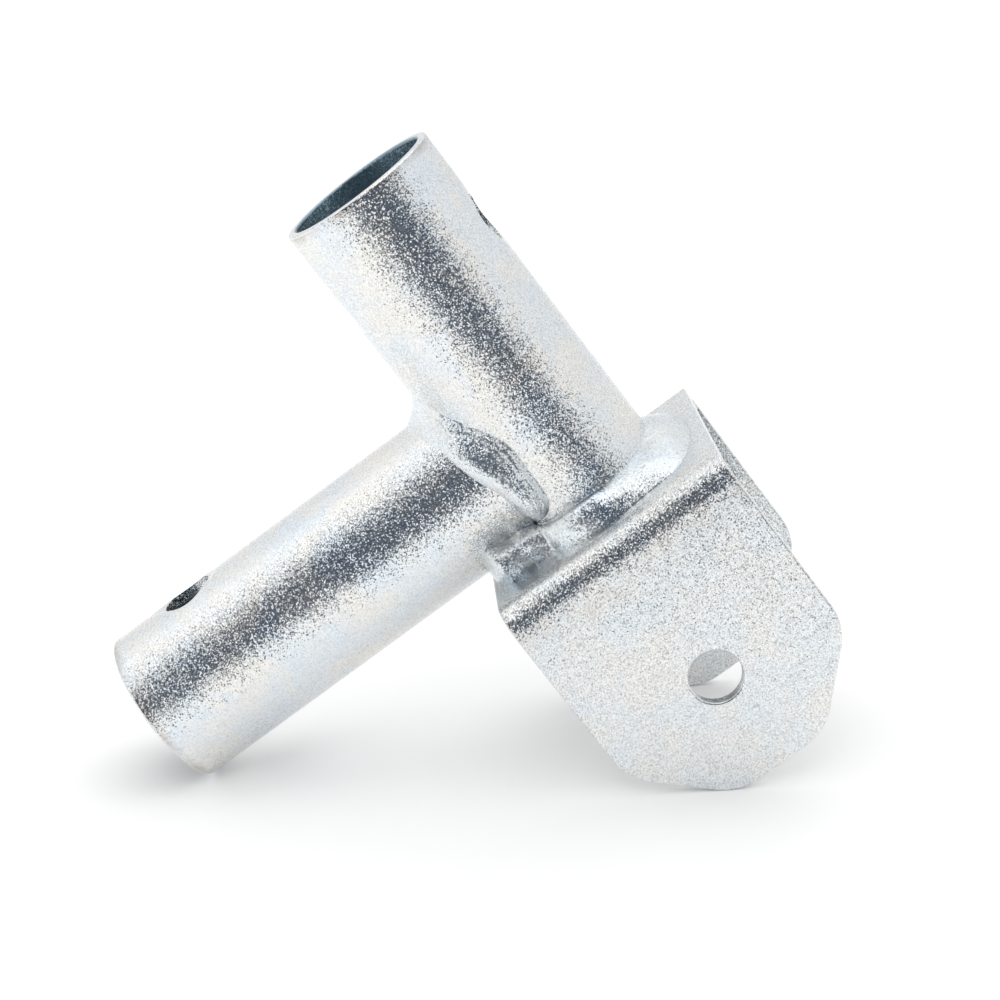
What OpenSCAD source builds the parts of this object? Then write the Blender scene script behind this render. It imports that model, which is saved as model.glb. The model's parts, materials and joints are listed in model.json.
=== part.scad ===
// Corner socket of a trampoline frame: two round tubes at right angles, welded on the web
// of a sheet folded into a clevis. It stands as it comes to rest on a flat floor, on the
// side tube's mouth and on the two flanges.

/* [Tubes] */
// Outside diameter of both tubes
tube_od = 34; // [30:0.5:40]
// Wall thickness of both tubes
tube_wall = 2; // [1.5:0.1:3]
// Length of the upright tube, from the web to its mouth
upright_len = 80; // [72:1:140]
// Reach of the side tube, from the upright tube's axis to its mouth
side_reach = 98; // [80:1:160]
// Radius that breaks the edges of a tube's mouth
lip_r = 0.5; // [0.2:0.1:0.7]
// Depth of the bevel inside the tips of the side tube's cope
cope_bevel = 0.6; // [0.4:0.1:1]

/* [Clevis] */
// Length of the folded sheet, along the side tube
clevis_len = 53; // [50:1:80]
// Width over the outside of the two flanges
clevis_w = 61; // [58:1:80]
// Depth from the top of the web to the lower edges of the flanges
clevis_depth = 59; // [52:1:90]
// Thickness of the folded sheet
sheet_t = 3; // [2:0.25:4]
// Inside radius of the two folds
fold_r = 3; // [2:0.5:8]
// Length that each lower corner is cut back along both edges
corner_cut = 16; // [10:0.5:18]
// Radius that rounds both ends of a cut corner
corner_r = 12; // [4:0.5:16]

/* [Holes] */
// Diameter of the bolt hole through both flanges
bolt_d = 11; // [6:0.5:14]
// Depth of the bolt hole's centre below the top of the web
bolt_drop = 36; // [28:0.5:42]
// Diameter of the punched cross hole in each tube
pin_d = 11; // [6:0.5:12]
// Distance of the upright tube's cross hole from its mouth
upright_pin_inset = 20.5; // [12:0.5:26]
// Distance of the side tube's cross hole from its mouth
side_pin_inset = 19; // [12:0.5:40]
// Depth that the punch pressed the wall in round a cross hole
dish_depth = 0.8; // [0.3:0.1:1]
// Radius of the punch's domed shoulder
dish_r = 40; // [30:1:60]

/* [Welds] */
// Leg of the bead between the two tubes
seam_leg = 5.2; // [3:0.2:6]
// Angle from the top of the side tube to each end of that bead
seam_span = 126; // [100:1:140]
// Leg of the base bead out along the web
base_leg = 6.4; // [4:0.2:7]
// Height of the base bead on the upright tube
base_rise = 5.3; // [4:0.1:6]
// Height of the base bead on the side tube, at the edge of the web
side_rise = 7.4; // [6:0.1:8]
// Extra leg of the base bead at the upright tube's two outer quarters
base_swell = 3; // [0:0.2:3.4]
// Height of the waves along a bead
bead_wave = 0.15; // [0:0.05:0.4]
// Length of one wave along a bead
bead_pitch = 7; // [5:0.5:12]
// Gap left at the root of the side tube's joints
root_gap = 0.3; // [0.2:0.05:0.6]

/* [Hidden] */
$fn = 96;
zinc = [0.80, 0.83, 0.86];
weld_zinc = [0.72, 0.75, 0.79];
// Distance that a bead's surface keeps from the steel it is laid on
weld_clear = 0.07;
// Overshoot of a cutting shape
past = 1;

tube_r = tube_od / 2;
bore_r = tube_r - tube_wall;
side_z = tube_r + root_gap;
half_l = clevis_len / 2;
half_w = clevis_w / 2;
fold_out = fold_r + sheet_t;
web_flat = half_w - fold_out;
corner_tan = corner_r * tan(22.5);
upright_pin_z = upright_len - upright_pin_inset;
side_pin_x = side_reach - side_pin_inset;
// Flanks of the side tube's cope end where its inside wall meets the upright tube
cope_r = tube_r + root_gap;
cope_tip = sqrt(cope_r * cope_r - bore_r * bore_r);
cope_slope = cope_bevel / (cope_r - cope_tip);
// Depth at which the side tube's bore ends, measured from the upright tube's axis
side_stop = cope_r + root_gap;

// Resting pose: the floor touches the side tube's lower lip and the flanges' rounded corner
low_lip = [-side_reach + lip_r, side_z - tube_r + lip_r];
foot = [-half_l + corner_cut + corner_tan, -clevis_depth + corner_r];
lip_to_foot = foot - low_lip;
rest_tilt = atan2(-lip_to_foot.y, lip_to_foot.x) + asin((corner_r - lip_r) / norm(lip_to_foot));
function rest_x(p) = p.x * cos(rest_tilt) - p.y * sin(rest_tilt);
function rest_z(p) = p.x * sin(rest_tilt) + p.y * cos(rest_tilt);
rest_lift = lip_r - rest_z(low_lip);
left_end = min(rest_x([-side_reach + lip_r, side_z + tube_r - lip_r]),
               rest_x([-tube_r + lip_r, upright_len - lip_r])) - lip_r;
right_end = rest_x([half_l - corner_r, -clevis_depth + corner_cut + corner_tan]) + corner_r;
rest_shift = -(left_end + right_end) / 2;

// Puts the upright design frame (web level, upright tube along Z) in the resting pose
module at_rest() {
  translate([rest_shift, 0, rest_lift])
    rotate([0, -rest_tilt, 0])
      children();
}

// Tube with a square foot at z = 0 and a mouth with broken edges at z = len
module plain_tube(len) {
  rotate_extrude() {
    translate([bore_r, 0])
      square([tube_wall, len - lip_r]);
    translate([bore_r + lip_r, len - 2 * lip_r])
      square([tube_wall - 2 * lip_r, 2 * lip_r]);
    for (x = [bore_r + lip_r, tube_r - lip_r])
      translate([x, len - lip_r])
        circle(lip_r);
  }
}

// Cutter of a cross hole along X: the hole and the shallow dish that the punch left
module punched_hole() {
  rotate([0, 90, 0])
    cylinder(d = pin_d, h = tube_od + 2 * past, center = true);
  for (side = [-1, 1])
    translate([side * (tube_r + dish_r - dish_depth), 0, 0])
      sphere(dish_r);
}

module upright_tube() {
  color(zinc)
    at_rest()
      difference() {
        plain_tube(upright_len);
        translate([0, 0, upright_pin_z])
          punched_hole();
      }
}

// Lies along -X with its foot coped to the upright tube
module side_tube() {
  color(zinc)
    at_rest()
      difference() {
        translate([-cope_tip, 0, side_z])
          rotate([0, -90, 0])
            plain_tube(side_reach - cope_tip);
        cylinder(r = cope_r, h = side_z + tube_od);
        translate([-side_stop - past, 0, side_z])
          rotate([0, 90, 0])
            cylinder(r1 = bore_r - cope_slope * past, r2 = bore_r + cope_slope * side_stop,
                     h = side_stop + past);
        translate([-side_pin_x, 0, side_z])
          rotate([0, 90, 0])
            punched_hole();
      }
}

// Channel section of the folded sheet's outside or inside, top edge at y = top
module fold_section(half, top, r) {
  translate([-half, -clevis_depth - past])
    square([2 * half, clevis_depth + past + top - r]);
  translate([-half + r, top - 2 * r])
    square([2 * (half - r), 2 * r]);
  for (x = [-half + r, half - r])
    translate([x, top - r])
      circle(r);
}

// What rounding takes off an outline between two edges that leave the centre at a0 and a1
module corner_shaving(centre, a0, a1) {
  difference() {
    polygon([centre, for (a = [a0, a1]) centre + 2 * corner_r * [cos(a), sin(a)]]);
    translate(centre)
      circle(corner_r);
  }
}

// Side outline of a flange: 45 degree cut corners with rounded ends
module flange_outline() {
  low = -clevis_depth;
  upper = [half_l - corner_r, low + corner_cut + corner_tan];
  lower = [half_l - corner_cut - corner_tan, low + corner_r];
  right = [[half_l, past], [half_l, low + corner_cut], [half_l - corner_cut, low]];
  left = [for (i = [len(right) - 1:-1:0]) [-right[i].x, right[i].y]];
  difference() {
    polygon(concat(right, left));
    for (side = [0, 1])
      mirror([side, 0]) {
        corner_shaving(upper, 0, -45);
        corner_shaving(lower, -45, -90);
      }
  }
}

module clevis_bracket() {
  color(zinc)
    at_rest()
      difference() {
        intersection() {
          rotate([90, 0, 90])
            linear_extrude(clevis_len + 2 * past, center = true)
              difference() {
                fold_section(half_w, 0, fold_out);
                fold_section(half_w - sheet_t, -sheet_t, fold_r);
              }
          rotate([90, 0, 0])
            linear_extrude(clevis_w + 2 * past, center = true)
              flange_outline();
        }
        translate([0, 0, -bolt_drop])
          rotate([90, 0, 0])
            cylinder(d = bolt_d, h = clevis_w + 2 * past, center = true);
      }
}

// Closed skin over a row of rings of points, with a fan at each end
module swept_bead(rings) {
  n = len(rings[0]);
  rows = len(rings);
  skin = [for (r = rings) each r];
  ends = [for (r = [rings[0], rings[rows - 1]]) [for (k = [0:2]) mean([for (p = r) p[k]])]];
  walls = [for (i = [0:rows - 2], j = [0:n - 1])
    let (a = i * n + j, b = i * n + (j + 1) % n)
      each [[a, a + n, b], [b, a + n, b + n]]];
  near = [for (j = [0:n - 1]) [j, (j + 1) % n, rows * n]];
  far = [for (j = [0:n - 1]) [(rows - 1) * n + (j + 1) % n, (rows - 1) * n + j, rows * n + 1]];
  polyhedron(concat(skin, ends), concat(walls, near, far));
}

function mean(v) = sum(v) / len(v);
function sum(v, i = 0) = i < len(v) ? v[i] + sum(v, i + 1) : 0;
function mix(a, b, t) = a + (b - a) * t;
function unit(v) = v / norm(v);
// Wave along a bead at a distance s from its middle
function wave(s) = bead_wave * cos(360 * s / bead_pitch);
// Share of a bead's full size at a distance s from its end, round over a length r
function end_round(s, r) = s >= r ? 1 : sqrt(1 - pow(1 - s / r, 2));

// Bead between the tubes, placed by the angle b from the top of the side tube
seam_steps = 63;
seam_face = 5;
seam_end_len = 4;
seam_end_size = 0.2;
top_bulge = -0.6;
flank_bulge = 2;
flank_from = 60;
function on_upright(a, z) = [-(tube_r + weld_clear) * cos(a), (tube_r + weld_clear) * sin(a), z];
function on_side(b, x) =
  [x, (tube_r + weld_clear) * sin(b), side_z + (tube_r + weld_clear) * cos(b)];
// Edge of the side tube's cope at the angle b
function cope_x(b) = -max(cope_tip, sqrt(cope_r * cope_r - pow(tube_r * sin(b), 2)));
function seam_ring(b) =
  let (
    along = (seam_span - abs(b)) * PI / 180 * tube_r,
    size = mix(seam_end_size, 1, end_round(along, seam_end_len)),
    leg = (seam_leg + wave(along)) * size,
    turn = min(1, abs(b) / flank_from),
    lift = cos(90 * turn),
    a_root = sign(b) * acos(min(1, -cope_x(b) / cope_r)),
    a_toe = a_root + sign(b) * (1 - lift) * leg / 2 / tube_r * 180 / PI,
    z = side_z + (tube_r + weld_clear) * cos(b),
    toe_side = on_side(b, cope_x(b) - leg),
    toe_upright = on_upright(a_toe, z + lift * leg),
    out = unit([-cos(a_root), sin(a_root) + sin(b), cos(b)]),
    bulge = (mix(top_bulge, flank_bulge, turn) + wave(along)) * size
  )
  concat(
    [for (k = [0:seam_face])
      let (t = k / seam_face)
        mix(toe_side, toe_upright, t) + out * bulge * 4 * t * (1 - t)],
    [on_upright(mix(a_toe, a_root, 0.5), z + lift * leg / 2),
     on_upright(a_root, z),
     on_side(b, cope_x(b) + weld_clear)]
  );

module seam_weld() {
  color(weld_zinc)
    at_rest()
      swept_bead([for (k = [0:seam_steps]) seam_ring(seam_span * (2 * k / seam_steps - 1))]);
}

// Bead on the web: along the side tube's front, round the upright tube, along its back
base_steps = 6;
run_steps = 6;
base_wall = 6;
base_face = 5;
base_floor = 8;
base_bulge = 0.8;
base_end_len = 3;
base_end_size = 0.35;
end_rise = 0.6;
root_depth = 8;
// Least foot of the bead on the web, out from its top edge
least_foot = 0.6;
// Room that the bead leaves to the two cut edges of the web
edge_room = 1;
base_end = -half_l + edge_room;
// Clearance from each end of the bead between the tubes down to this bead
seam_clear = 1.3;
crotch_rise = side_z + tube_r * cos(seam_span) - seam_clear;
// Height of the web's top side, folds included, at a distance y from its middle
function web_z(y) =
  abs(y) <= web_flat ? 0 : sqrt(fold_out * fold_out - pow(abs(y) - web_flat, 2)) - fold_out;
// Section in the upright plane through the point (x, 0) along the level direction o
function base_ring(x, o, wall, reach, rise, bulge) =
  let (
    r = tube_r + weld_clear,
    low = asin(root_depth / r),
    high = acos((side_z - rise) / r),
    inner = [for (k = [0:base_wall])
      let (psi = mix(low, high, k / base_wall))
        [max(wall + weld_clear, r * sin(psi)), side_z - r * cos(psi)]],
    root = [inner[0].x, weld_clear],
    top = inner[base_wall],
    toe = [reach, web_z(o.y * reach) + weld_clear],
    out = unit([top.y - toe.y, toe.x - top.x]),
    face = [for (k = [1:base_face - 1])
      let (t = k / base_face)
        mix(top, toe, t) + out * bulge * 4 * t * (1 - t)],
    under = [for (k = [0:base_floor - 1])
      let (d = mix(toe.x, root.x, k / base_floor))
        [d, web_z(o.y * d) + weld_clear]],
    outline = concat([root], inner, face, under)
  )
  [for (p = outline) [x + o.x * p.x, o.y * p.x, p.y]];

// Height of the bead on the side tube, led past the end of the bead between the tubes
function run_rise(x) =
  x < -cope_tip ? mix(side_rise, crotch_rise, (x - base_end) / (-cope_tip - base_end))
                : mix(crotch_rise, base_rise, 1 + x / cope_tip);
// Straight run beside the side tube; y is -1 in front and 1 behind
function run_ring(x, y) =
  let (
    t = (x - base_end) / -base_end,
    size = mix(base_end_size, 1, end_round(x - base_end, base_end_len)),
    wall = sqrt(max(0, tube_r * tube_r - x * x)),
    rise = run_rise(x) * mix(end_rise, 1, size),
    close = (tube_r + weld_clear) * sin(acos((side_z - rise) / (tube_r + weld_clear))),
    reach = mix(close + least_foot, tube_r + base_leg, t * t) + (1 - t) * wave(x)
  )
  base_ring(x, [0, y], wall, reach, rise, base_bulge * size);
// Round run at the angle phi about the upright tube
function round_ring(phi) =
  let (
    swell = max(0, cos(2 * (abs(phi) - 45))),
    leg = base_leg + base_swell * swell + wave(phi * PI / 180 * tube_r),
    reach = min(tube_r + leg, (half_l - edge_room) / cos(phi))
  )
  base_ring(0, [cos(phi), sin(phi)], tube_r, reach, base_rise, base_bulge);

module base_weld() {
  beside = [for (k = [0:run_steps - 1]) mix(base_end, -tube_r, pow(k / run_steps, 2))];
  behind = [for (g = [90:-base_steps:0]) -tube_r * sin(g)];
  run = concat(beside, behind);
  last = len(run) - 1;
  color(weld_zinc)
    at_rest()
      swept_bead(concat(
        [for (x = run) run_ring(x, -1)],
        [for (phi = [-90 + base_steps:base_steps:90 - base_steps]) round_ring(phi)],
        [for (i = [last:-1:0]) run_ring(run[i], 1)]
      ));
}

upright_tube();
side_tube();
clevis_bracket();
seam_weld();
base_weld();
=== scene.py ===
"""Looks of a welded corner socket: bright zinc plating, weld beads, a white studio and the camera."""

import json
import math

import bmesh
import bpy
from mathutils import Matrix, Vector, noise


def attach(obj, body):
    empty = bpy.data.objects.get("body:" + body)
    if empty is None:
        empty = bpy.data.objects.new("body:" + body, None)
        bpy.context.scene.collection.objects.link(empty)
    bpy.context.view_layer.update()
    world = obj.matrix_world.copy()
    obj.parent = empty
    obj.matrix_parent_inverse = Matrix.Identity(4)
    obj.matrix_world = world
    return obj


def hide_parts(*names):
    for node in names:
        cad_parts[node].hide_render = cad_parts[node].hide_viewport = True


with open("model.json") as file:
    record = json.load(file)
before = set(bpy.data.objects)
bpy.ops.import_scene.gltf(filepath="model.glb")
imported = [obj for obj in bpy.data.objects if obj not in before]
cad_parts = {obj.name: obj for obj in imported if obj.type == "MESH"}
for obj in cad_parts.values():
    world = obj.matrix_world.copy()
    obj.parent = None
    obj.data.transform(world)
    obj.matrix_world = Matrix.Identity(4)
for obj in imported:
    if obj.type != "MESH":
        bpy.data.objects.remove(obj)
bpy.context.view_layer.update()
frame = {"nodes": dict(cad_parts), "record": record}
scene = bpy.context.scene


# Design frame of the solids: millimetres, web level at z = 0, upright tube along Z, side tube towards -X

MM = 0.001
TUBE_R = 17.0
UPRIGHT_LEN = 80.0
SIDE_REACH = 98.0
SIDE_Z = 17.3
BOLT_DROP = 36.0
# Distance from the web's middle to the folds' axes, and the folds' outside radius
FOLD_Y = 24.5
FOLD_R = 6.0

mounts = {m["name"]: m for m in frame["record"]["mounts"]}
upright_way = Vector(mounts["upright_socket"]["axis"])
side_way = Vector(mounts["side_socket"]["axis"])
web_middle = Vector(mounts["clevis_bore"]["pos_m"]) + upright_way * BOLT_DROP * MM
rest_turn = Matrix((-side_way, (0, 1, 0), upright_way)).transposed().to_4x4()
# From the design frame to the frame at rest, in metres
REST = Matrix.Translation(web_middle) @ rest_turn @ Matrix.Scale(MM, 4)


# Shader helpers

class Nodes:
    """Short calls for building one node tree."""

    def __init__(self, tree):
        self.tree = tree
        tree.nodes.clear()

    def add(self, kind, **values):
        node = self.tree.nodes.new(kind)
        for key, value in values.items():
            setattr(node, key, value)
        return node

    def link(self, out, into):
        self.tree.links.new(out, into)

    def feed(self, socket, value):
        """Sets a socket to a plain value, or links an output to it."""
        if isinstance(value, bpy.types.NodeSocket):
            self.link(value, socket)
        else:
            socket.default_value = value

    def noise(self, coords, scale, detail, rough, distort=0.0):
        n = self.add("ShaderNodeTexNoise")
        n.inputs["Scale"].default_value = scale
        n.inputs["Detail"].default_value = detail
        n.inputs["Roughness"].default_value = rough
        n.inputs["Distortion"].default_value = distort
        self.link(coords, n.inputs["Vector"])
        return n.outputs["Fac"]

    def ramp(self, value, stops):
        """Colour by (value, colour) stops."""
        n = self.add("ShaderNodeValToRGB")
        elements = n.color_ramp.elements
        while len(elements) < len(stops):
            elements.new(0.5)
        for e, (at, colour) in zip(elements, stops):
            e.position = at
            e.color = (*colour, 1)
        self.link(value, n.inputs["Fac"])
        return n.outputs["Color"]

    def span(self, value, a, b, lo, hi):
        """Runs from lo to hi while the value runs from a to b."""
        n = self.add("ShaderNodeMapRange")
        for key, v in (("From Min", a), ("From Max", b), ("To Min", lo), ("To Max", hi)):
            n.inputs[key].default_value = v
        self.link(value, n.inputs["Value"])
        return n.outputs["Result"]

    def mix(self, factor, a, b, blend="MIX"):
        """Mixes colour a with b, which may be a plain colour."""
        n = self.add("ShaderNodeMix", data_type="RGBA", blend_type=blend)
        self.feed(n.inputs["Factor"], factor)
        self.link(a, n.inputs[6])
        self.feed(n.inputs[7], (*b, 1) if isinstance(b, tuple) else b)
        return n.outputs[2]

    def bump(self, height, distance):
        n = self.add("ShaderNodeBump")
        n.inputs["Strength"].default_value = 1.0
        n.inputs["Distance"].default_value = distance
        self.link(height, n.inputs["Height"])
        return n.outputs["Normal"]

    def math(self, kind, a, b):
        n = self.add("ShaderNodeMath", operation=kind)
        for socket, v in zip(n.inputs, (a, b)):
            self.feed(socket, v)
        return n.outputs[0]

    def vector(self, kind, *values, result="Vector"):
        n = self.add("ShaderNodeVectorMath", operation=kind)
        for socket, v in zip(n.inputs, values):
            self.feed(socket, v)
        return n.outputs[result]

    def scaled(self, vector, factor):
        n = self.add("ShaderNodeVectorMath", operation="SCALE")
        self.link(vector, n.inputs["Vector"])
        self.feed(n.inputs["Scale"], factor)
        return n.outputs["Vector"]

    def cells(self, coords, scale):
        """Random colour of each crystal of the plating."""
        n = self.add("ShaderNodeTexVoronoi")
        n.inputs["Scale"].default_value = scale
        self.link(coords, n.inputs["Vector"])
        return n.outputs["Color"]

    def facets(self, cell, tilt, normal):
        """Normal with each crystal leaning its own way, most a little and some a lot."""
        lean = self.vector("SUBTRACT", cell, (0.5, 0.5, 0.5))
        cube = self.vector("MULTIPLY", self.vector("MULTIPLY", lean, lean), lean)
        lean = self.vector("ADD", self.scaled(lean, LITTLE_LEAN), self.scaled(cube, LARGE_LEAN))
        return self.vector("NORMALIZE", self.vector("ADD", normal, self.scaled(lean, tilt)))


# Zinc plating: lengths in metres, patterns in cells to the metre

CLOUDS = 95
SMEARS = 150
PEEL = 420
GRAIN = 4500
WELD_GRAIN = 4200
# Shares of a crystal's lean that grow evenly and with its cube
LITTLE_LEAN = 0.5
LARGE_LEAN = 6.0
# Tones of the crystals, and the stronger ones of the rolled sheet
CRYSTAL_TONES = [(0.1, (0.72, 0.74, 0.76)), (0.5, (0.93, 0.94, 0.95)), (0.85, (1.03, 1.03, 1.03))]
SHEET_TONES = [(0.1, (0.56, 0.58, 0.60)), (0.5, (0.91, 0.92, 0.93)), (0.85, (1.07, 1.07, 1.07))]
STAIN_BROWN = (0.42, 0.36, 0.30)
# Colour of the tubes' bores: painted shade of the tube's inside, on top of their duller plating
DULL_BORE_PAINTED_SHADE = (0.24, 0.34, 0.40)
# Radii between which a tube's wall turns from bright outside to the dull bore, darkened with painted shade
BRIGHT_R = 0.0155
DULL_SHADE_R = 0.0151
BORE_ROUGH = 0.2
# Depths over which the stretched grain of a fold sets in
BEND_FROM = 0.0002
BEND_FULL = 0.0015


def zinc(name, cool, warm, rough, grain, lean, peel, origin=None, up=None, stain=None, bore=False,
         bend=None, tones=CRYSTAL_TONES):
    """Bright zinc plating: cool metal with warm clouds and crystals that sparkle.

    Depths are measured from the origin, against the direction up.
    stain is a band of brown smears, as two depths and a strength.
    A bore, round the line from the origin along up, is dull, and its colour is darkened to a painted shade of
    the tube's inside.
    bend is the depth of a fold in the sheet and the stronger lean of its stretched crystals.
    """
    mat = bpy.data.materials.new(name)
    mat.use_nodes = True
    t = Nodes(mat.node_tree)
    coords = t.add("ShaderNodeTexCoord").outputs["Object"]
    cloud = t.noise(coords, CLOUDS, 4, 0.6, 0.6)
    cell = t.cells(coords, grain)
    colour = t.ramp(cloud, [(0.36, cool), (0.62, warm)])
    colour = t.mix(1.0, colour, t.ramp(cell, tones), "MULTIPLY")
    roughness = t.span(cloud, 0.3, 0.7, *rough)
    if origin is not None:
        offset = t.vector("SUBTRACT", coords, origin)
        height = t.vector("DOT_PRODUCT", offset, up, result="Value")
    if stain:
        shallow, deep, strength = stain
        upper = t.span(height, -0.7 * shallow, -shallow, 0, strength)
        band = t.math("MULTIPLY", upper, t.span(height, -deep, -shallow, 0, 1))
        patches = t.span(t.noise(coords, SMEARS, 5, 0.7), 0.36, 0.66, 0, 1)
        colour = t.mix(t.math("MULTIPLY", band, patches), colour, STAIN_BROWN)
    if bend:
        fold_depth, fold_lean = bend
        upper = t.span(height, -BEND_FROM, -BEND_FULL, 0, 1)
        fold = t.math("MULTIPLY", upper, t.span(height, -1.3 * fold_depth, -fold_depth, 0, 1))
        lean = t.math("ADD", t.math("MULTIPLY", fold, fold_lean - lean), lean)
    if bore:
        radius = t.vector("LENGTH", t.vector("CROSS_PRODUCT", offset, up), result="Value")
        # Inside the bore the plating turns rougher and its colour is mixed to the painted shade
        bore_dull_and_shaded = t.span(radius, BRIGHT_R, DULL_SHADE_R, 0, 1)
        colour = t.mix(bore_dull_and_shaded, colour, DULL_BORE_PAINTED_SHADE)
        roughness = t.math("ADD", roughness, t.math("MULTIPLY", bore_dull_and_shaded, BORE_ROUGH))
    normal = t.facets(cell, lean, t.bump(t.noise(coords, PEEL, 2, 0.5), peel))
    shader = t.add("ShaderNodeBsdfPrincipled")
    shader.inputs["Metallic"].default_value = 1.0
    t.link(colour, shader.inputs["Base Color"])
    t.link(roughness, shader.inputs["Roughness"])
    t.link(normal, shader.inputs["Normal"])
    t.link(shader.outputs["BSDF"], t.add("ShaderNodeOutputMaterial").inputs["Surface"])
    return mat


tube = {
    "cool": (0.83, 0.88, 0.92), "warm": (0.92, 0.90, 0.86), "rough": (0.18, 0.25),
    "grain": GRAIN, "peel": 0.00004, "stain": (0.0005, 0.0022, 0.75), "bore": True,
}
upright_mouth = REST @ Vector((0, 0, UPRIGHT_LEN))
side_mouth = REST @ Vector((-SIDE_REACH, 0, SIDE_Z))
upright_zinc = zinc("upright_zinc", **tube, lean=0.29, origin=upright_mouth, up=upright_way)
side_zinc = zinc("side_zinc", **tube, lean=0.31, origin=side_mouth, up=side_way)
sheet_zinc = zinc("sheet_zinc", cool=(0.80, 0.84, 0.86), warm=(0.87, 0.86, 0.835), rough=(0.19, 0.25),
                  grain=GRAIN, lean=0.16, peel=0.00004, origin=web_middle, up=upright_way,
                  stain=(FOLD_R * MM, 0.017, 0.26), bend=(FOLD_R * MM, 0.36), tones=SHEET_TONES)
weld_zinc = zinc("weld_zinc", cool=(0.82, 0.88, 0.93), warm=(0.90, 0.91, 0.90), rough=(0.18, 0.34),
                 grain=WELD_GRAIN, lean=0.32, peel=0.00006)


# Tubes and clevis

# Rounding of the sheet's sheared edges, and the least angle of an edge that gets it
EASE = 0.00045
EASE_ANGLE = math.radians(35)


def dress(obj, mat):
    obj.data.materials.clear()
    obj.data.materials.append(mat)


def stand_in(name, bm, mat, node):
    """New piece in place of a CAD node."""
    mesh = bpy.data.meshes.new(name)
    bm.to_mesh(mesh)
    bm.free()
    mesh.polygons.foreach_set("use_smooth", [True] * len(mesh.polygons))
    obj = bpy.data.objects.new(name, mesh)
    scene.collection.objects.link(obj)
    dress(obj, mat)
    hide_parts(node)
    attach(obj, "root")
    return obj


def eased(name, node, mat):
    """The node's own shape with its sheared edges rounded off."""
    bm = bmesh.new()
    bm.from_mesh(frame["nodes"][node].data)
    bmesh.ops.remove_doubles(bm, verts=bm.verts, dist=2e-6)
    bmesh.ops.dissolve_limit(bm, angle_limit=math.radians(0.5), verts=bm.verts, edges=bm.edges)
    obj = stand_in(name, bm, mat, node)
    bevel = obj.modifiers.new("ease", "BEVEL")
    bevel.width = EASE
    bevel.segments = 3
    bevel.limit_method = "ANGLE"
    bevel.angle_limit = EASE_ANGLE
    obj.modifiers.new("flats", "WEIGHTED_NORMAL").weight = 100


dress(frame["nodes"]["upright_tube"], upright_zinc)
dress(frame["nodes"]["side_tube"], side_zinc)
eased("clevis_sheet", "clevis_bracket", sheet_zinc)


# Weld beads, in the design frame

# Depth that a bead's edges sink into the steel
SINK = 0.1


def smooth_curve(x, knots):
    """Value at x on a smooth curve through (x, value) knots."""
    if x <= knots[0][0]:
        return knots[0][1]
    for k in range(len(knots) - 1):
        (x0, y0), (x1, y1) = knots[k], knots[k + 1]
        if x <= x1:
            before = knots[k - 1] if k else (2 * x0 - x1, y0)
            after = knots[k + 2] if k + 2 < len(knots) else (2 * x1 - x0, y1)
            m0 = (y1 - before[1]) / (x1 - before[0]) * (x1 - x0)
            m1 = (after[1] - y0) / (after[0] - x0) * (x1 - x0)
            u = (x - x0) / (x1 - x0)
            return ((2 * u ** 3 - 3 * u ** 2 + 1) * y0 + (u ** 3 - 2 * u ** 2 + u) * m0
                    + (3 * u ** 2 - 2 * u ** 3) * y1 + (u ** 3 - u ** 2) * m1)
    return knots[-1][1]


def lumps(p, size):
    """Uneven height at a point, of two sizes of lump."""
    return noise.noise(p / size) + 0.5 * noise.noise(p / size * 2.3 + Vector((7, 3, 1)))


def swelling(t, peak):
    """Share of a bead's swell across its face, from one edge (0) over its crest to the other (1)."""
    if t < peak:
        return max(0, math.sin(math.pi / 2 * t / peak)) ** 0.8
    return max(0, math.cos(math.pi / 2 * (t - peak) / (1 - peak))) ** 0.9


def loft(name, rings, node):
    """Closed skin over rings of points."""
    bm = bmesh.new()
    rows = [[bm.verts.new(REST @ p) for p in ring] for ring in rings]
    n = len(rows[0])
    for a, b in zip(rows, rows[1:]):
        for j in range(n):
            bm.faces.new((a[j], a[(j + 1) % n], b[(j + 1) % n], b[j]))
    bm.faces.new(rows[0][::-1])
    bm.faces.new(rows[-1])
    bmesh.ops.recalc_face_normals(bm, faces=bm.faces)
    stand_in(name, bm, weld_zinc, node)


# Seam between the tubes, from its top (0) to each end (1).
# Its edge on the side tube: turn from the tube's top, and x
SIDE_TURN = [(0, 0), (0.15, 20), (0.3, 42), (0.45, 60), (0.6, 78), (0.75, 96), (0.9, 114), (1, 128)]
SIDE_X = [(0, -22.7), (0.15, -21.1), (0.3, -18.2), (0.45, -16.9), (0.6, -15.2), (0.75, -13.2),
          (0.9, -12.7), (1, -12)]
# Its edge on the upright tube: turn from the side tube, and z
UP_TURN = [(0, 0), (0.15, 21), (0.3, 44), (0.45, 62), (0.6, 70), (0.75, 70), (0.9, 69), (1, 62)]
UP_Z = [(0, 39.6), (0.15, 38.6), (0.3, 33.2), (0.45, 27.4), (0.6, 22.6), (0.75, 16.5), (0.9, 9.8), (1, 6)]
# Its swell, where the crest lies across it, and how far it is rippled
SEAM_SWELL = [(0, -0.6), (0.15, -0.5), (0.3, 0.5), (0.45, 1.5), (0.6, 2.0), (0.75, 2.0), (0.9, 1.9), (1, 1.5)]
SEAM_PEAK = [(0, 0.5), (0.3, 0.42), (0.5, 0.36), (0.75, 0.38), (1, 0.45)]
SEAM_RIPPLE = [(0, 0), (0.4, 0), (0.6, 1), (1, 1)]
# Length from the seam's top to an end
SEAM_LEN = 42.0
# Share of the seam that rounds off each end, and the least size there
SEAM_END = 0.08
SEAM_END_SIZE = 0.12
SEAM_LUMP = 0.07
SEAM_LUMP_SIZE = 2.4
RIPPLE_HEIGHT = 0.14
RIPPLE_LEN = 1.15
RIPPLE_FADE = 2.2
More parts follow.
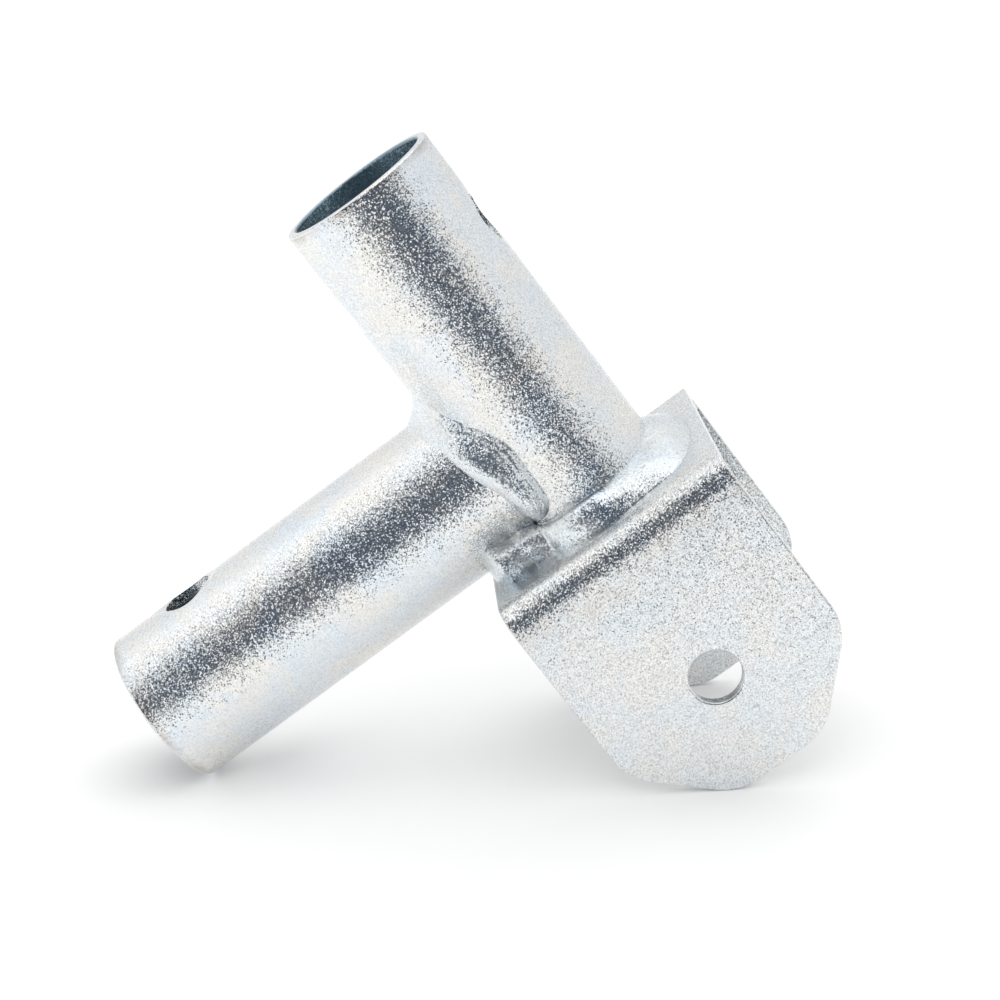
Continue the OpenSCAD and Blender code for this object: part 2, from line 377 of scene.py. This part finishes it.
# Depths of the bead's root under the tubes' surfaces and under the middle of its face
ROOT_EDGE = 0.6
ROOT_MIDDLE = 1.3
SEAM_POINTS = 44
SEAM_ROWS = 320


def upright_at(a, z, lift):
    return Vector((-(TUBE_R + lift) * math.cos(a), (TUBE_R + lift) * math.sin(a), z))


def side_at(b, x, lift):
    return Vector((x, (TUBE_R + lift) * math.sin(b), SIDE_Z + (TUBE_R + lift) * math.cos(b)))


def seam_ring(v):
    """Section of the seam at v, from -1 at the front end to 1 at the rear end."""
    u = min(1, abs(v))
    way = 1 if v > 0 else -1
    b = way * math.radians(smooth_curve(u, SIDE_TURN))
    a = way * math.radians(smooth_curve(u, UP_TURN))
    x = smooth_curve(u, SIDE_X)
    z = smooth_curve(u, UP_Z)
    low, top = side_at(b, x, -SINK), upright_at(a, z, -SINK)
    to_end = (1 - u) / SEAM_END
    full = 1 if to_end >= 1 else max(SEAM_END_SIZE, math.sqrt(1 - (1 - to_end) ** 2))
    mid = (low + top) / 2
    low, top = mid + (low - mid) * full, mid + (top - mid) * full
    outward = Vector((-math.cos(a), math.sin(a), 0)) + Vector((0, math.sin(b), math.cos(b)))
    outward.normalize()
    swell = smooth_curve(u, SEAM_SWELL)
    peak = smooth_curve(u, SEAM_PEAK)
    ripple_height = RIPPLE_HEIGHT * smooth_curve(u, SEAM_RIPPLE)
    ring = []
    for k in range(SEAM_POINTS + 1):
        t = k / SEAM_POINTS
        p = low.lerp(top, t)
        rise = 4 * t * (1 - t) if swell < 0 else swelling(t, peak)
        edge = min(1, 8 * min(t, 1 - t))
        border = min((1 - t) * (top - low).length, (1 - u) * SEAM_LEN)
        ripple = ripple_height * math.exp(-border / RIPPLE_FADE) * math.cos(2 * math.pi * border / RIPPLE_LEN)
        uneven = ripple + SEAM_LUMP * lumps(p, SEAM_LUMP_SIZE)
        ring.append(p + outward * (rise * swell * full + edge * full * uneven))
    ring.append(upright_at(a, z, -ROOT_EDGE))
    ring.append(mid - outward * ROOT_MIDDLE)
    ring.append(side_at(b, x, -ROOT_EDGE))
    return ring


# The middle ring keeps just off the top, where front and rear meet
OFF_TOP = 1e-6
loft("seam_bead", [seam_ring(2 * k / SEAM_ROWS - 1 + OFF_TOP) for k in range(SEAM_ROWS + 1)], "seam_weld")

# Base bead: beside the side tube, round the upright tube, and back on the other side.
# Runs beside the tubes, by x: height on the tube, foot on the web, swell, place of the crest and lumps
BASE_LEFT = -25.4
RUN_RISE = [(BASE_LEFT, 6.6), (-22, 7.8), (-18, 6.8), (-14.5, 7), (-10, 5.3), (-6, 5.2), (0, 5.2)]
RUN_FOOT = [(BASE_LEFT, 1), (-22, 2.2), (-18, 1.9), (-14.5, 2.3), (-12, 4), (-10, 5.4), (-6, 5.8), (0, 5.8)]
RUN_SWELL = [(BASE_LEFT, 1.6), (-21.5, 2.6), (-17.5, 2.3), (-14, 2.3), (-11, 2.2), (-7, 2.5), (0, 2.7)]
RUN_PEAK = [(BASE_LEFT, 0.5), (-15, 0.45), (-11, 0.4), (-5, 0.33), (0, 0.33)]
RUN_LUMP = [(BASE_LEFT, 0.08), (-12, 0.1), (0, 0.12)]
# Stretch round the upright tube, by the turn from +X: reach, height, swell and crest
ROUND_REACH = [(0, 23.8), (14, 24.3), (28, 25.1), (38, 26), (48, 26.4), (55, 25.6), (62, 24.3),
               (75, 23.3), (90, 22.8)]
ROUND_RISE = [(0, 6.6), (15, 6.2), (35, 5.2), (60, 5.1), (90, 5.2)]
ROUND_SWELL = [(0, 1), (30, 0.9), (55, 0.9), (68, 1.2), (78, 1.7), (84, 2.4), (90, 2.7)]
ROUND_PEAK = [(0, 0.5), (60, 0.5), (75, 0.42), (85, 0.33), (90, 0.33)]
ROUND_LUMP = 0.12
BASE_LUMP_SIZE = 2.8
# Length that rounds off each end of the bead, and how far a run's rows wander
BASE_END = 2.2
RUN_WARP = 0.25
WARP_SIZE = 3.5
WARP_IN = 6.0
# Root of the bead: depth in the web, distances in from the toe and from the top edge, drop from the top edge
ROOT_DEPTH = 0.8
TOE_IN = 0.5
TOP_IN = 1.0
TOP_DROP = 0.2
BASE_POINTS = 30
RUN_ROWS = 64
ROUND_STEP = 1.5


def web_z(y):
    """Height of the web's top side, folds included."""
    return math.sqrt(max(0, FOLD_R ** 2 - max(0, abs(y) - FOLD_Y) ** 2)) - FOLD_R


def base_ring(x, o, top, foot, swell, peak, lump, full=1.0, warp=0.0):
    """Section in the upright plane through (x, 0) along the level direction o."""
    def at(d, z, drag=0.0):
        return Vector((x + drag + o[0] * d, o[1] * d, z))
    toe = (foot, web_z(o[1] * foot) - SINK)
    n = Vector((top[1] - toe[1], toe[0] - top[0])).normalized()
    ring = []
    for k in range(BASE_POINTS + 1):
        t = k / BASE_POINTS
        d, z = top[0] + (toe[0] - top[0]) * t, top[1] + (toe[1] - top[1]) * t
        edge = min(1, 5 * min(t, 1 - t))
        rise = swell * swelling(t, peak) + edge * lump * lumps(at(d, z), BASE_LUMP_SIZE)
        drag = full * warp * noise.noise(Vector((x / WARP_SIZE, 4 * t, 9 * o[1])))
        ring.append(at(d + n.x * rise * full, z + n.y * rise * full, drag))
    ring.append(at(toe[0] - TOE_IN, -ROOT_DEPTH))
    ring.append(at(min(top[0], toe[0]) - TOP_IN, -ROOT_DEPTH))
    ring.append(at(top[0] - TOP_IN, top[1] - TOP_DROP))
    return ring


def run_ring(x, y):
    """Section beside the tubes; y is -1 in front and 1 behind."""
    to_end = (x - BASE_LEFT) / BASE_END
    full = math.sqrt(max(0.03, 1 - (1 - to_end) ** 2)) if to_end < 1 else 1
    rise = smooth_curve(x, RUN_RISE) * (0.55 + 0.45 * full)
    beside = math.sqrt(TUBE_R ** 2 - (SIDE_Z - rise) ** 2)
    wall = max(beside, math.sqrt(max(0, TUBE_R ** 2 - x * x)))
    foot = wall + smooth_curve(x, RUN_FOOT) * full
    return base_ring(x, (0, y), (wall - SINK, rise), foot, smooth_curve(x, RUN_SWELL),
                     smooth_curve(x, RUN_PEAK), smooth_curve(x, RUN_LUMP), full,
                     RUN_WARP * min(1, -x / WARP_IN))


def round_ring(phi):
    """Section at the turn phi round the upright tube."""
    g = abs(phi)
    o = (math.cos(math.radians(phi)), math.sin(math.radians(phi)))
    return base_ring(0, o, (TUBE_R - SINK, smooth_curve(g, ROUND_RISE)), smooth_curve(g, ROUND_REACH),
                     smooth_curve(g, ROUND_SWELL), smooth_curve(g, ROUND_PEAK), ROUND_LUMP)


run_x = [BASE_LEFT * (1 - k / RUN_ROWS) for k in range(RUN_ROWS)]
round_phi = [-90 + ROUND_STEP * k for k in range(round(180 / ROUND_STEP) + 1)]
loft("base_bead",
     [run_ring(x, -1) for x in run_x] + [round_ring(phi) for phi in round_phi]
     + [run_ring(x, 1) for x in reversed(run_x)], "base_weld")


# Studio: white floor, and a white tent that is open to a dark room in front

FLOOR_HALF = 4.0
# Dark room: where its floor begins, its radius, its two sides as turns from the front, and its height
DARK_FRONT = -0.35
DARK_R = 1.2
DARK_LEFT = math.radians(-53)
DARK_RIGHT = math.radians(46)
DARK_HIGH = 1.25
# Height of the dark floor over the white one
DARK_LIFT = 0.003
# Brightness of the tent on its left and right sides
TENT_LEFT = 0.97
TENT_RIGHT = 0.89


def plain(name, colour, glow, emit):
    """Matt surface with a faint glow."""
    mat = bpy.data.materials.new(name)
    mat.use_nodes = True
    shader = mat.node_tree.nodes["Principled BSDF"]
    shader.inputs["Base Color"].default_value = (*colour, 1)
    shader.inputs["Roughness"].default_value = 0.8
    shader.inputs["Specular IOR Level"].default_value = 0.0
    shader.inputs["Emission Color"].default_value = (*glow, 1)
    shader.inputs["Emission Strength"].default_value = emit
    return mat


def card(name, corners, mat):
    """Flat or folded card of the studio."""
    mesh = bpy.data.meshes.new(name)
    mesh.from_pydata(corners, [], [tuple(range(len(corners)))])
    obj = bpy.data.objects.new(name, mesh)
    scene.collection.objects.link(obj)
    dress(obj, mat)
    return obj


def reflected_card(name, corners, mat):
    """Card that shows only in the metal's reflections."""
    obj = card(name, corners, mat)
    obj.visible_camera = False
    obj.visible_diffuse = False
    obj.visible_shadow = False
    obj.visible_transmission = False
    obj.visible_volume_scatter = False


def softbox(name, place, target, size, power, glossy=True):
    light = bpy.data.lights.new(name, "AREA")
    light.shape = "RECTANGLE"
    light.size, light.size_y = size
    light.energy = power
    obj = bpy.data.objects.new(name, light)
    scene.collection.objects.link(obj)
    obj.location = place
    obj.rotation_euler = (Vector(target) - Vector(place)).to_track_quat("-Z", "Y").to_euler()
    obj.visible_camera = False
    obj.visible_glossy = glossy


white = plain("paper", (0.95, 0.95, 0.95), (1, 1, 1), 0.05)
card("floor", [(x * FLOOR_HALF, y * FLOOR_HALF, 0) for x, y in ((-1, -1), (1, -1), (1, 1), (-1, 1))], white)

dark = plain("dark_room", (0.0, 0.0, 0.0), (0.58, 0.74, 1.0), 0.125)
left_x, right_x = DARK_R * math.sin(DARK_LEFT), DARK_R * math.sin(DARK_RIGHT)
reflected_card("dark_floor", [(left_x, DARK_FRONT, DARK_LIFT), (left_x, -DARK_R, DARK_LIFT),
                              (right_x, -DARK_R, DARK_LIFT), (right_x, DARK_FRONT, DARK_LIFT)], dark)
wall_foot = [(DARK_R * math.sin(g), -DARK_R * math.cos(g)) for g in (DARK_LEFT, 0, DARK_RIGHT)]
reflected_card("dark_wall", [(x, y, 0) for x, y in wall_foot]
               + [(x, y, DARK_HIGH) for x, y in reversed(wall_foot)], dark)

scene.world = bpy.data.worlds.new("tent")
scene.world.use_nodes = True
tent = Nodes(scene.world.node_tree)
split = tent.add("ShaderNodeSeparateXYZ")
tent.link(tent.add("ShaderNodeTexCoord").outputs["Generated"], split.inputs[0])
tent_glow = tent.add("ShaderNodeBackground")
tent_glow.inputs["Color"].default_value = (1, 1, 1, 1)
tent.link(tent.span(split.outputs["X"], -1, 1, TENT_LEFT, TENT_RIGHT), tent_glow.inputs["Strength"])
tent.link(tent_glow.outputs["Background"], tent.add("ShaderNodeOutputWorld").inputs["Surface"])

softbox("key", (-0.75, 0.1, 0.8), (0, 0, 0.05), (0.6, 0.6), 0.35)
softbox("top", (0.1, 0.1, 1.3), (0, 0, 0), (1.2, 1.2), 2.0)
softbox("fill", (-0.15, -0.9, 1.0), (0, 0, 0), (0.5, 0.5), 1.6, glossy=False)
softbox("background", (0, 2.1, 1.4), (0, 2.1, 0), (3, 1.6), 11.0, glossy=False)


# Camera, at the photograph's place

cam_data = bpy.data.cameras.new("camera")
cam_data.sensor_width = 36
cam_data.lens = 87.1487
cam_data.shift_x = 0.0031
cam_data.shift_y = -0.0523
cam_data.clip_start = 0.01
camera = bpy.data.objects.new("camera", cam_data)
scene.collection.objects.link(camera)
camera.location = (-0.0100968, -0.4740915, 0.1953964)
camera.rotation_euler = [math.radians(a) for a in (74.6315, 2.8319, -2.9765)]
scene.camera = camera

scene.view_settings.view_transform = "Standard"
scene.view_settings.look = "None"
scene.view_settings.exposure = 0.0
scene.view_settings.gamma = 1.0
